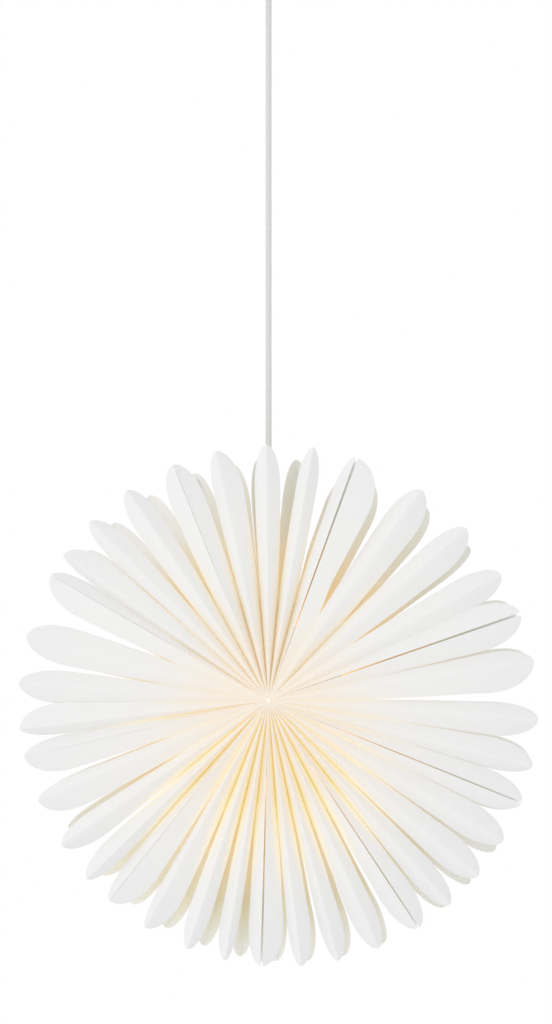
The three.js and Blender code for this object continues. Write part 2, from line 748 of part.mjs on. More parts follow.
// Ceiling fitting
function ceilingBracket() {
  const half = BRACKET_LENGTH / 2;
  const [front, back] = [BRACKET_CENTRE_Y - BRACKET_WIDTH / 2, BRACKET_CENTRE_Y + BRACKET_WIDTH / 2];
  const round = BRACKET_CORNER;
  const outline = new THREE.Shape();
  outline.moveTo(-half + round, front);
  outline.lineTo(half - round, front);
  outline.absarc(half - round, front + round, round, -Math.PI / 2, 0, false);
  outline.lineTo(half, back - round);
  outline.absarc(half - round, back - round, round, 0, Math.PI / 2, false);
  outline.lineTo(-half + round, back);
  outline.absarc(-half + round, back - round, round, Math.PI / 2, Math.PI, false);
  outline.lineTo(-half, front + round);
  outline.absarc(-half + round, front + round, round, Math.PI, 1.5 * Math.PI, false);
  for (const turn of [-1, 1]) {
    const centre = (turn * SLOT_SPACING) / 2;
    const run = (SLOT_LENGTH - SLOT_WIDTH) / 2;
    const slot = new THREE.Path();
    slot.absarc(centre + run, BRACKET_CENTRE_Y, SLOT_WIDTH / 2, -Math.PI / 2, Math.PI / 2, false);
    slot.absarc(centre - run, BRACKET_CENTRE_Y, SLOT_WIDTH / 2, Math.PI / 2, 1.5 * Math.PI, false);
    slot.closePath();
    outline.holes.push(slot);
  }
  const strap = slab(outline, -BRACKET_THICKNESS, 0, CURVE_STEPS);
  const tabShape = rectangleShape(-TAB_WIDTH / 2, TAB_FACE, TAB_WIDTH / 2, back);
  const tab = slab(tabShape, -TAB_LENGTH, -BRACKET_THICKNESS / 2);
  const bores = [-1, 1].map((turn) => clampScrewBore((turn * CLAMP_SCREW_SPACING) / 2));
  const blockBore = rod(SCREW_RADIUS + SCREW_CLEARANCE, -2 * BRACKET_THICKNESS, BRACKET_THICKNESS);
  blockBore.translate(blockCentre().x, blockCentre().y, 0);
  return cut(join(strap, tab), ...bores, blockBore);
}

function clampScrewBore(x) {
  const bore = rod(SCREW_RADIUS + SCREW_CLEARANCE, -BRACKET_WIDTH, BRACKET_WIDTH);
  return bore.rotateX(Math.PI / 2).translate(x, 0, -CLAMP_TOP - CLAMP_HEIGHT / 2);
}

function cordClamp() {
  const half = CLAMP_WIDTH / 2;
  const back = TAB_FACE - GAP;
  const front = -CORD_BORE_RADIUS - CLAMP_COVER;
  const outline = new THREE.Shape();
  outline.moveTo(-half, front + CLAMP_BEVEL);
  outline.lineTo(-half + CLAMP_BEVEL, front);
  outline.lineTo(half - CLAMP_BEVEL, front);
  outline.lineTo(half, front + CLAMP_BEVEL);
  outline.lineTo(half, back);
  outline.lineTo(CORD_BORE_RADIUS, back);
  outline.lineTo(CORD_BORE_RADIUS, 0);
  outline.absarc(0, 0, CORD_BORE_RADIUS, 0, -Math.PI, true);
  outline.lineTo(-CORD_BORE_RADIUS, back);
  outline.lineTo(-half, back);
  outline.closePath();
  const saddle = slab(outline, -CLAMP_TOP - CLAMP_HEIGHT, -CLAMP_TOP);
  const bores = [-1, 1].map((turn) => clampScrewBore((turn * CLAMP_SCREW_SPACING) / 2));
  return cut(saddle, ...bores);
}

// Tool that cuts a screwdriver slot into a face at a height
function screwSlot(reach, height) {
  const half = SCREW_SLOT_WIDTH / 2;
  const outline = rectangleShape(-reach, -half, reach, half);
  return slab(outline, height - SCREW_SLOT_DEPTH, height + CUT_MARGIN);
}

// Pan-head screw with a cross slot, its head at z = 0 and its shank along -Z
function panScrew(shank) {
  const head = turned([
    [0, 0],
    [SCREW_HEAD_RADIUS, 0],
    [SCREW_HEAD_RADIUS, SCREW_HEAD_EDGE],
    [SCREW_CROWN_RADIUS, SCREW_HEAD_HEIGHT],
    [0, SCREW_HEAD_HEIGHT],
  ], FINE_ROUND);
  const body = rod(SCREW_RADIUS, -shank, SCREW_SINK);
  const slot = screwSlot(SCREW_CROWN_RADIUS, SCREW_HEAD_HEIGHT);
  const crossSlot = slot.clone().rotateZ(Math.PI / 2);
  return cut(join(head, body), slot, crossSlot);
}

function clampScrew(turn) {
  const front = -CORD_BORE_RADIUS - CLAMP_COVER - GAP;
  const shank = TAB_FACE + BRACKET_THICKNESS - front + SCREW_END;
  const screw = panScrew(shank).rotateX(Math.PI / 2);
  return screw.translate((turn * CLAMP_SCREW_SPACING) / 2, front, -CLAMP_TOP - CLAMP_HEIGHT / 2);
}

function blockCentre() {
  return { x: BLOCK_START + BLOCK_LENGTH / 2, y: BRACKET_CENTRE_Y };
}

function poleOffsets() {
  return [-BLOCK_POLE_SPACING / 2, BLOCK_POLE_SPACING / 2];
}

function terminalBlock() {
  const { x, y } = blockCentre();
  const high = -BRACKET_THICKNESS - GAP;
  const low = high - BLOCK_HEIGHT;
  const [halfX, halfY] = [BLOCK_LENGTH / 2, BLOCK_WIDTH / 2];
  const body = slab(rectangleShape(x - halfX, y - halfY, x + halfX, y + halfY), low, high);
  const tools = [];
  for (const offset of poleOffsets()) {
    const bore = rod(BLOCK_BORE / 2, -BLOCK_LENGTH, BLOCK_LENGTH).rotateY(Math.PI / 2);
    tools.push(bore.translate(x, y + offset, low + BLOCK_HEIGHT / 2));
    const well = rod(WELL_BORE / 2, low - CUT_MARGIN, low + BLOCK_HEIGHT / 2);
    tools.push(well.translate(x + halfX / 2, y + offset, 0));
  }
  const fixing = rod(SCREW_RADIUS + SCREW_CLEARANCE, low - CUT_MARGIN, high + CUT_MARGIN);
  return cut(body, ...tools, fixing.translate(x, y, 0));
}

function blockScrew() {
  const { x, y } = blockCentre();
  const low = -BRACKET_THICKNESS - GAP - BLOCK_HEIGHT;
  const shank = BLOCK_HEIGHT + 2 * GAP + BRACKET_THICKNESS / 2;
  const screw = panScrew(shank).rotateX(Math.PI);
  return screw.translate(x, y, low - GAP);
}

// Core from the cord's end to its terminal
function core(turn) {
  const { x, y } = blockCentre();
  const height = -BRACKET_THICKNESS - GAP - BLOCK_HEIGHT / 2;
  const entry = x - BLOCK_LENGTH / 2;
  const poleY = y + (turn * BLOCK_POLE_SPACING) / 2;
  const path = new THREE.CatmullRomCurve3([
    new THREE.Vector3(0, (turn * CORE_SPACING) / 2, -CORD_TOP + GAP),
    new THREE.Vector3(0.2, (turn * CORE_SPACING) / 2, -CORD_TOP + 3),
    new THREE.Vector3(3.5, (poleY + (turn * CORE_SPACING) / 2) / 2, height - 0.6),
    new THREE.Vector3(entry - 3.5, poleY, height),
    new THREE.Vector3(entry + 3, poleY, height),
  ], false, 'centripetal');
  return tube(path, CORE_DIAMETER / 2, CORE_SIDES, CORE_STEPS);
}

function makeCeilingFitting() {
  const fitting = new THREE.Group();
  fitting.add(piece('ceiling_bracket', ceilingBracket(), steelFinish));
  fitting.add(piece('cord_clamp', cordClamp(), holderFinish));
  fitting.add(piece('clamp_screw_left', clampScrew(-1), nickelFinish));
  fitting.add(piece('clamp_screw_right', clampScrew(1), nickelFinish));
  fitting.add(piece('terminal_block', terminalBlock(), holderFinish));
  fitting.add(piece('block_screw', blockScrew(), nickelFinish));
  fitting.add(piece('core_brown', core(-1), brownFinish));
  fitting.add(piece('core_blue', core(1), blueFinish));
  return fitting;
}

// Ceiling cup, open at the top
function ceilingCup() {
  const hole = GLAND_RADIUS + GAP;
  const foot = CUP_RADIUS - CUP_TAPER;
  const corner = (radius, inset) => {
    const points = [];
    for (let i = 0; i <= CUP_CORNER_STEPS; i++) {
      const angle = (Math.PI / 2) * (i / CUP_CORNER_STEPS);
      const across = foot - CUP_CORNER + radius * Math.sin(angle);
      points.push([across, -CUP_HEIGHT + inset + radius * (1 - Math.cos(angle))]);
    }
    return points;
  };
  const outer = corner(CUP_CORNER, 0);
  const inner = corner(CUP_CORNER - CUP_WALL, CUP_WALL);
  return turned([
    [hole, -CUP_HEIGHT],
    ...outer,
    [CUP_RADIUS, 0],
    [CUP_RADIUS - CUP_WALL, 0],
    ...inner.reverse(),
    [hole, -CUP_HEIGHT + CUP_WALL],
    [hole, -CUP_HEIGHT],
  ], CUP_FACETS);
}

function cupGland() {
  const bore = CORD_BORE_RADIUS;
  const seat = -CUP_HEIGHT - GAP;
  const low = seat - GLAND_HEAD_HEIGHT;
  const high = -CUP_HEIGHT + GLAND_STEM_HEIGHT;
  const shape = turned([
    [bore, low],
    [GLAND_HEAD_RADIUS - GLAND_BEVEL, low],
    [GLAND_HEAD_RADIUS, low + GLAND_BEVEL_HEIGHT],
    [GLAND_HEAD_RADIUS, seat],
    [GLAND_RADIUS, seat],
    [GLAND_RADIUS, high],
    [bore, high],
    [bore, low],
  ]);
  const screwHole = rod(GRUB_RADIUS + GAP, 0, 2 * GLAND_HEAD_RADIUS);
  return cut(shape, screwHole.rotateX(-Math.PI / 2).translate(0, 0, grubHeight()));
}

function grubHeight() {
  return -CUP_HEIGHT - GAP - GLAND_HEAD_HEIGHT / 2;
}

function glandNut() {
  const low = -CUP_HEIGHT + CUP_WALL + GAP;
  const shape = hexagonShape(GLAND_NUT_ACROSS);
  shape.holes.push(new THREE.Path(circleShape(GLAND_RADIUS + GAP, ROUND).getPoints()));
  return slab(shape, low, low + GLAND_NUT_HEIGHT);
}

function glandScrew() {
  const grub = rod(GRUB_RADIUS, 0, GRUB_LENGTH);
  const slot = screwSlot(2 * GRUB_RADIUS, GRUB_LENGTH);
  const start = CORD_RADIUS + GAP;
  return cut(grub, slot).rotateX(-Math.PI / 2).translate(0, start, grubHeight());
}

function makeCup() {
  const cup = new THREE.Group();
  cup.add(piece('ceiling_cup', ceilingCup(), cupFinish));
  cup.add(piece('cup_gland', cupGland(), holderFinish));
  cup.add(piece('gland_nut', glandNut(), holderFinish));
  cup.add(piece('gland_screw', glandScrew(), nickelFinish));
  return cup;
}

// A named mesh, with shared vertices
function piece(name, geometry, material) {
  const mesh = new THREE.Mesh(closed(geometry), material);
  mesh.name = name;
  return mesh;
}

const pendant = new THREE.Group();
pendant.add(makeCeilingFitting());
pendant.add(makeCup());
pendant.add(piece('cord', cord(), cordFinish));
const lamp = makeLamp();
lamp.position.set(0, 0, -STAR_DROP);
pendant.add(lamp);
const star = makeStar();
star.position.set(0, 0, -STAR_DROP);
pendant.add(star);

export default pendant;
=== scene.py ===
import math
import random
from itertools import repeat

import bmesh
import bpy
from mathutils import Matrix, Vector


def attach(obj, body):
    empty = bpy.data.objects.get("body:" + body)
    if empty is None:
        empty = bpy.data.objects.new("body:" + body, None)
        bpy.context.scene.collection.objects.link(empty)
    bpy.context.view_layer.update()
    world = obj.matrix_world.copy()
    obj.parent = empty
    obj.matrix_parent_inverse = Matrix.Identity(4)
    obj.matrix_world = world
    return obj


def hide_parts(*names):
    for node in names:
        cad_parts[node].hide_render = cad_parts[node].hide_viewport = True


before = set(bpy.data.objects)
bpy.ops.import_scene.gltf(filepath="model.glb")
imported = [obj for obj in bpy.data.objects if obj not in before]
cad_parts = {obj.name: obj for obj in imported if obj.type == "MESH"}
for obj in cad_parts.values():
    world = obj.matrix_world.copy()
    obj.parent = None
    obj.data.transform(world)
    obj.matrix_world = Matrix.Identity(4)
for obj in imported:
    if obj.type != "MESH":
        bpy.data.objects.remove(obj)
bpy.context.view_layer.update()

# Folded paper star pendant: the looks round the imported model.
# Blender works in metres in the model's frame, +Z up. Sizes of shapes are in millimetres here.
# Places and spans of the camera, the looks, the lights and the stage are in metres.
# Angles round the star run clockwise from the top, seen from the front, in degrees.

MM = 0.001
CENTRE = -770.0  # height of the star's centre
MIDDLE = Vector((0, 0, CENTRE))

# Camera
CAMERA_PLACE = (0.0073, -2.5, -0.830)
CAMERA_LENS = 89.93
CAMERA_SENSOR = 36.0
CAMERA_SHIFT = 0.2452  # upwards, as a share of the picture's height

# Cord
CORD_TOP = -17.0
CORD_FOOT = -720.0
CORD_DIAMETER = 6.0
CORD_SIDES = 36
CORD_STEP = 0.6
CORD_PATH = (CORD_FOOT, -600.0, -400.0, -200.0, CORD_TOP)  # heights along its line
CORD_SHARP = 60.0  # edges sharper than this stay sharp
BRAID_DEPTH = 0.11
BRAID_STRANDS = 8
BRAID_PITCH = 2.4

# Star
HALF_DEPTH = 50.0  # ridges to the star's middle plane
# Tip radius of a rosette: mean, sway and its direction, ovalness and its direction
FRONT_TIPS = (249.7, 10.6, 116.0, 2.3, 142.0)
REAR_TIPS = (248.4, 17.5, 114.0, 3.8, 141.0)
HALF_PETAL_ANGLE = 8.0  # half a petal, laid flat
PAPER = 0.45  # thickness
PAPER_SHARP = 38.0  # edges sharper than this stay sharp
LEAF_CUT = 94.0  # petals are joined inside this radius and free outside it
CAVITY_RADIUS = 65.0  # the walls between petals stop here, round the lamp
TIP_LENGTH = 48.0  # the rounded end of a petal
TIP_POWER = 1.9  # how full a rounded end is: 2 is an ellipse
TIP_LEAST_WIDTH = 0.05  # the blunt end of a tip, as a share of the petal's width
TIP_DROOP = 3.0  # the tips lean this far towards the middle plane
DROOP_RANGE = (0.4, 1.6)  # least and most of that in one petal
DROOP_LENGTH = 90.0
RIDGE_ROUND = 2.6  # softness of a fold
MOST_ROUND = 0.3  # the most of it, as a share of half a petal's width
BOW = 0.02  # how far half a petal bows out, as a share of its width
BOW_RANGE = (0.5, 1.5)  # least and most of that in one petal
BOW_START = 20.0
BOW_LENGTH = 60.0  # from there to the full bow
BOW_PEAK = 6.75  # brings the most of share * share * (1 - share) up to 1
OPEN_LENGTH = 105.0  # from the cut to where a petal has its free spread
OPEN_POWER = 0.75
MOST_OPEN = 0.985  # reach of the flattest half petal, as a share of its width
GLOW_LOSS = 0.6  # share of the painted lamplight in a fold that is lost out to the free spread
FREE_DROP = 0.5  # how far free petals still fold back, as a share of their paper's width
FLAT_SHARE = 0.4  # depth of a flat fold, as a share of a plain one's
DEEP_EXTRA = 4.5  # further width of the paper in a deep fold
DEEP_START = 7.0
DEEP_FULL = 34.0
LIP_DEPTH = 5.0  # glued lips where two sections meet
LIP_LEAST = 0.15  # depth at a lip's ends, as a share of the full depth
LIP_START = 8.0  # from the eye
LIP_END = 2.5  # before the tip
LIP_FADE = 8.0
LIP_COLUMNS = 3
LIP_CHANGE = 75.0  # from this radius on the lips show the inner side of the paper
GLUE_GAP = 0.3  # between the front and the rear walls
GAP = 0.3  # between two sections at the eye
JOINED_ROWS = (1.2, 3.5, 6.5, 9.5, 13, 18, 25, 34, 45, 56, 65, 75, 85, LEAF_CUT)
FREE_ROWS = 9
TIP_ROWS = (0.12, 0.25, 0.38, 0.5, 0.61, 0.71, 0.8, 0.87, 0.925, 0.965, 0.99, 1.0)
COLUMNS = (0, 0.035, 0.08, 0.15, 0.26, 0.4, 0.58, 0.78, 1.0)
WALL_ROWS = (CAVITY_RADIUS, 70.0, 76.0, 82.0, 88.0, LEAF_CUT - 0.4)
WALL_COLUMNS = 5
MERGE = 1e-6  # points closer than this become one, in metres

# Pitch from ridge to ridge in each paper section, clockwise from its first seam
FRONT_FIRST_SEAM = -22.0
FRONT_PITCHES = (
    (10, 11.5, 10.5, 10), (16, 13, 12.5, 9.5), (10.5, 12.5, 10, 8),
    (9, 9, 8.5, 8), (9.5, 9, 8, 8.5), (8, 8.5, 10.5, 10),
    (7, 9.5, 11.5, 10.5), (6.5, 10.5, 11, 15), (5.5, 9.5, 11, 12),
)
REAR_FIRST_SEAM = -18.0
REAR_PITCHES = (
    (9, 6.5, 9, 16), (16.5, 13.5, 9, 6.5), (12, 14, 9, 8.5),
    (11.5, 9, 7, 8), (7.5, 9, 8, 7), (8, 8.5, 9.5, 10),
    (10, 13.5, 10.5, 10.5), (4.5, 10.5, 11, 15), (10, 9, 11, 12),
)

# Width of each seam at the tip, from the first seam on
FRONT_GAPES = (0.5, 2.6, 2.6, 1.8, 1.7, 2.4, 0.5, 0.3, 0.5)
REAR_GAPES = (0.8, 1.6, 0.8, 0.8, 0.8, 0.8, 0.8, 0.8, 0.8)

# How deep the folds between the petals of each section are, and so how much painted lamplight they
# hold
FRONT_FOLDS = (
    (0.9, 1, 1, 0.9), (0.15, 0.6, 0.1, 0.1), (0.1, 0.15, 0.15, 0.15),
    (0.2, 0.3, 0.6, 0.85), (0.9, 1, 1, 1), (1, 1, 0.9, 0.35),
    (1, 0.6, 0.12, 0.12), (0.35, 0.1, 0.1, 0.1), (0.3, 0.25, 0.5, 0.7),
)
REAR_FOLDS = ((0.6, 0.6, 0.6, 0.3), (0.3, 0.4, 0.6, 0.6), *[(0.6, 0.6, 0.6, 0.6)] * 7)

# Spread of the free half petals of each section, from seam to seam
FRONT_SPREADS = (
    (4.8, 2.8, 5.4, 3.2, 3.7, 2.7, 2.9, 2.8),
    (7.8, 4, 5.5, 3.7, 5.2, 4.3, 4.5, 5.3),
    (5.7, 3.9, 6.5, 3.8, 4.8, 4.8, 3.0, 4.7),
    (3.8, 4.7, 3.8, 4.5, 3.7, 3.8, 3.0, 4.1),
    (4.0, 3.2, 3.6, 3.5, 2.4, 3.7, 2.2, 5.1),
    (3.3, 2.0, 2.9, 3.1, 3.0, 5.3, 1.9, 6.4),
    (2.7, 2.8, 3.8, 4.4, 3.3, 6.2, 2.8, 6.1),
    (3.6, 2.6, 6.0, 4.8, 4.3, 5.2, 5.4, 6.3),
    (3.3, 1.9, 5.6, 3.0, 4.4, 4.0, 4.0, 4.7),
)
REAR_SPREADS = (
    (3.3, 3.5, 3.8, 2.3, 3.0, 2.6, 4.0, 6.7),
    (7.3, 6.0, 4.5, 5.0, 2.7, 3.5, 2.7, 3.6),
    (4.5, 3.6, 5.5, 3.8, 3.8, 4.8, 3.5, 3.5),
    (4.5, 4.5, 3.0, 3.5, 2.5, 3.0, 3.4, 3.2),
    (3.0, 3.0, 3.5, 3.7, 3.2, 3.4, 3.0, 3.2),
    (3.2, 3.0, 3.0, 3.0, 3.5, 3.5, 4.0, 3.8),
    (4.0, 4.0, 5.0, 5.0, 2.2, 4.0, 1.6, 4.0),
    (2.0, 2.0, 4.5, 4.5, 4.0, 4.5, 4.5, 5.0),
    (2.5, 4.0, 2.5, 4.0, 3.0, 4.5, 3.4, 4.5),
)

# Stage and light
FLOOR_RADIUS = 3.0
FLOOR_SIDES = 96
FLOOR_HEIGHT = -2.4
FLOOR_FADE = (0.6, 2.8)  # the floor turns plain white between these radii
SKY_LEVEL = 0.90  # mean strength of the surroundings' light
SKY_CHANGE = 0.08  # it is this much stronger on one side and weaker on the other
SKY_SIDE = (-0.9, -0.3, 0.05)
LIGHTS = (  # name, place, size and power in watts
    ("key", (-2.6, -1.8, -0.1), 1.8, 10),
    ("fill", (2.2, -2.0, -1.9), 2.2, 3),
)

chance = random.Random(36)


def sin(degrees):
    return math.sin(math.radians(degrees))


def cos(degrees):
    return math.cos(math.radians(degrees))


def tan(degrees):
    return math.tan(math.radians(degrees))


def rgb(red, green, blue):
    return (red, green, blue, 1)


def new_object(name, mesh, materials):
    made = bpy.data.objects.new(name, mesh)
    bpy.context.scene.collection.objects.link(made)
    for material in materials:
        mesh.materials.append(material)
    return made


def make_camera():
    data = bpy.data.cameras.new("camera")
    data.sensor_width = CAMERA_SENSOR
    data.lens = CAMERA_LENS
    data.shift_y = CAMERA_SHIFT
    camera = bpy.data.objects.new("camera", data)
    camera.location = CAMERA_PLACE
    camera.rotation_euler = (math.pi / 2, 0, 0)
    bpy.context.scene.collection.objects.link(camera)
    bpy.context.scene.camera = camera


class Tree:
    """Adds linked shader nodes to a material or world, with short calls."""

    def __init__(self, owner):
        owner.use_nodes = True
        self.tree = owner.node_tree
        self.tree.nodes.clear()

    def add(self, kind, inputs=None, **settings):
        node = self.tree.nodes.new(kind)
        for name, value in settings.items():
            setattr(node, name, value)
        for name, value in (inputs or {}).items():
            if isinstance(value, bpy.types.NodeSocket):
                self.tree.links.new(value, node.inputs[name])
            else:
                node.inputs[name].default_value = value
        return node

    def math(self, operation, *values):
        return self.add("ShaderNodeMath", dict(enumerate(values)), operation=operation).outputs[0]

    def times(self, a, b):
        return self.math("MULTIPLY", a, b)

    def vector(self, operation, *values):
        """All outputs of an operation on vectors."""
        inputs = dict(enumerate(values))
        return self.add("ShaderNodeVectorMath", inputs, operation=operation).outputs

    def span(self, value, start, end, low=0.0, high=1.0):
        """value from start to end, turned smoothly into low to high."""
        inputs = {
            "Value": value, "From Min": start, "From Max": end, "To Min": low, "To Max": high,
        }
        node = self.add("ShaderNodeMapRange", inputs, interpolation_type="SMOOTHSTEP")
        return node.outputs[0]

    def mix(self, factor, a, b):
        # inputs 6 and 7 and output 2 are the node's colours
        inputs = {"Factor": factor, 6: a, 7: b}
        return self.add("ShaderNodeMix", inputs, data_type="RGBA").outputs[2]

    def ramp(self, factor, stops):
        node = self.add("ShaderNodeValToRGB", {"Fac": factor})
        ends = node.color_ramp.elements
        for i, (place, colour) in enumerate(stops):
            stop = ends[i] if i < 2 else ends.new(place)
            stop.position = place
            stop.color = rgb(*colour)
        return node.outputs["Color"]

    def noise(self, scale, detail, vector=None):
        inputs = {"Scale": scale, "Detail": detail}
        if vector is not None:
            inputs["Vector"] = vector
        return self.add("ShaderNodeTexNoise", inputs).outputs[0]

    def place(self):
        return self.add("ShaderNodeTexCoord").outputs["Object"]

    def stretched(self, scale):
        return self.add("ShaderNodeMapping", {"Vector": self.place(), "Scale": scale}).outputs[0]

    def bump(self, height, distance, strength):
        inputs = {"Height": height, "Distance": distance, "Strength": strength}
        return self.add("ShaderNodeBump", inputs).outputs[0]

    def attribute(self, name):
        return self.add("ShaderNodeAttribute", attribute_name=name).outputs["Fac"]

    def surface(self, inputs):
        shader = self.add("ShaderNodeBsdfPrincipled", inputs)
        self.add("ShaderNodeOutputMaterial", {"Surface": shader.outputs[0]})


# Paper looks
# Noises: scale and detail, and how much of them counts
FIBRE = (420, 4)
FIBRE_SHARE = 0.12
TOOTH = (1400, 3)
TOOTH_SHARE = 0.5
DIMPLES = (160, 2)
CLOUDS = (14, 2)
CLOUD_SHARE = 0.35
PAPER_BUMP = (0.00018, 0.55)  # distance and strength

# Spans from none to full, outwards from the star's axis or up from its centre
LAMPLIGHT = (0.175, 0.02)
LAMPLIGHT_REACH = (-0.1, 0.1, 0.9, 1.4)  # the light fades faster above the centre than below it
ABOVE = (-0.03, 0.03)
FOLD_IN = (0.008, 0.022)
FOLD_OUT = (0.225, 0.08)
FOLD_POWER = 3.0  # keeps the painted lamplight and shade down in a fold
FOLD_SLOPE = (0.0, 0.2)  # shares of the fold's painted glow from a plain face to a fold's slope
FOLD_FLOOR = (0.2, 1.0)  # and from the slope to the fold's floor
# Painted shade: the tips turn greyer and cooler, where less lamplight and daylight reach them
TIP_SHADE_SPAN = (0.17, 0.262)
TIP_SHADE_SHARE = 0.5  # how far the tips take their painted shade
# Painted light on the inner side: its outer parts are paler on the left and above, where the
# daylight falls
LEFT = (-0.03, -0.11)
DAYLIT_OUT = (0.145, 0.19)
DAYLIT_UP = (-0.2, 0.0)
DAYLIT_LEFT = (*LEFT, 0.6, 1.0)
INSIDE_RADIUS = 0.26  # where the inner side's ramps end
# strength of the inner side's painted glow: stronger below the centre than above it
INSIDE_GLOW_STRENGTH = (-0.2, 0.2, 1.2, 0.9)

# Outer side: colours, then glows. The first three colours are the paper's own tones; the warm,
# fold and tip colours are painted lamplight and painted shade, and the glows are painted light
# coming through the paper
PAPER_SHADE = rgb(0.765, 0.762, 0.755)
PAPER_WHITE = rgb(0.795, 0.792, 0.785)
PAPER_CLOUD = rgb(0.75, 0.748, 0.745)
PAINTED_TIP_SHADE = rgb(0.735, 0.737, 0.75)
PAPER_LAMPLIT_TINT = rgb(0.81, 0.742, 0.65)
FOLD_SHADE_LAMPLIGHT_LOW = rgb(0.72, 0.69, 0.33)
FOLD_SHADE_LAMPLIGHT_HIGH = rgb(0.72, 0.635, 0.39)
FAR_GLOW = rgb(0.115, 0.115, 0.115)
CORE_GLOW = rgb(0.15, 0.13, 0.11)
SLOPE_GLOW_LOW = rgb(0.24, 0.19, 0.12)
SLOPE_GLOW_HIGH = rgb(0.16, 0.135, 0.10)
FOLD_LAMP_GLOW_LOW = rgb(0.21, 0.145, 0.06)
FOLD_LAMP_GLOW_HIGH = rgb(0.15, 0.095, 0.07)

# Inner side: colours and glows by radius, painted lamplight that fades outwards, and those of its
# pale parts, painted daylight from the left and above
INSIDE_LAMPLIT_TONES = (
    (0.0, (0.92, 0.66, 0.30)), (0.34, (0.84, 0.69, 0.43)), (0.47, (0.79, 0.72, 0.49)),
    (0.61, (0.78, 0.765, 0.62)), (0.775, (0.68, 0.69, 0.55)), (0.94, (0.74, 0.775, 0.765)),
)
INSIDE_LAMP_GLOWS = (
    (0.0, (0.50, 0.33, 0.13)), (0.25, (0.38, 0.25, 0.10)), (0.36, (0.20, 0.14, 0.06)),
    (0.46, (0.125, 0.08, 0.042)), (0.62, (0.13, 0.085, 0.065)), (0.775, (0.11, 0.09, 0.065)),
    (0.94, (0.11, 0.105, 0.10)),
)
INSIDE_FIBRE = rgb(0.95, 0.92, 0.85)
DAYLIT_RIGHT_TONE = rgb(0.715, 0.74, 0.715)
DAYLIT_LEFT_TONE = rgb(0.77, 0.785, 0.785)
DAYLIT_RIGHT_GLOW = rgb(0.105, 0.105, 0.105)
DAYLIT_LEFT_GLOW = rgb(0.13, 0.135, 0.14)


def from_centre(tree):
    """Distance from the star's axis, and the places above and to the right of its centre."""
    offset = tree.vector("SUBTRACT", tree.place(), (0, 0, CENTRE * MM))[0]
    flat = tree.vector("MULTIPLY", offset, (1, 0, 1))[0]
    parts = tree.add("ShaderNodeSeparateXYZ", {0: offset}).outputs
    return tree.vector("LENGTH", flat)["Value"], parts["Z"], parts["X"]


def paper_bump(tree):
    tooth = tree.times(tree.noise(*TOOTH), TOOTH_SHARE)
    return tree.bump(tree.math("ADD", tooth, tree.noise(*DIMPLES)), *PAPER_BUMP)


def lamplight(tree, radius, height):
    """1 at the hub to 0 far out, reaching further below the lamp than above it."""
    reach = tree.times(radius, tree.span(height, *LAMPLIGHT_REACH))
    return tree.span(reach, *LAMPLIGHT)


def paper_outside():
    """White side of the paper: warmer towards the lamp, and amber down in the folds, as painted
    lamplight and shade; greyer at the tips as painted shade; and glows that paint the light coming
    through the paper.
    """
    material = bpy.data.materials.new("paper_outside")
    tree = Tree(material)
    radius, height, _ = from_centre(tree)
    core = lamplight(tree, radius, height)
    above = tree.span(height, *ABOVE)
    # painted lamplight and shade: a mask for the amber down in the folds, near the hub
    deep = tree.math("POWER", tree.attribute("fold"), FOLD_POWER)
    near = tree.times(tree.span(radius, *FOLD_IN), tree.span(radius, *FOLD_OUT))
    valley = tree.times(tree.times(deep, tree.attribute("glow")), near)
    white = tree.mix(tree.noise(*FIBRE), PAPER_SHADE, PAPER_WHITE)
    white = tree.mix(tree.times(tree.noise(*CLOUDS), CLOUD_SHARE), white, PAPER_CLOUD)
    # painted shade: greyer, cooler tips
    white = tree.mix(tree.times(tree.span(radius, *TIP_SHADE_SPAN), TIP_SHADE_SHARE), white, PAINTED_TIP_SHADE)
    # painted lamplight: the paper turns warmer towards the lamp
    lamplit_white = tree.mix(core, white, PAPER_LAMPLIT_TINT)
    # painted lamplight and shade in the folds, browner above the centre than below it
    fold_shade_lamplight = tree.mix(above, FOLD_SHADE_LAMPLIGHT_LOW, FOLD_SHADE_LAMPLIGHT_HIGH)
    # painted light: glows for the daylight and lamplight coming through the paper, stronger near
    # the lamp and in the folds
    glow = tree.mix(core, FAR_GLOW, CORE_GLOW)
    slope_glow = tree.mix(above, SLOPE_GLOW_LOW, SLOPE_GLOW_HIGH)
    fold_lamp_glow = tree.mix(above, FOLD_LAMP_GLOW_LOW, FOLD_LAMP_GLOW_HIGH)
    glow = tree.mix(tree.span(valley, *FOLD_SLOPE), glow, slope_glow)
    glow = tree.mix(tree.span(valley, *FOLD_FLOOR), glow, fold_lamp_glow)
    tree.surface({
        "Base Color": tree.mix(valley, lamplit_white, fold_shade_lamplight),
        "Roughness": 0.82, "Specular IOR Level": 0.22,
        "Emission Color": glow, "Emission Strength": 1.0,
        "Normal": paper_bump(tree),
    })
    return material


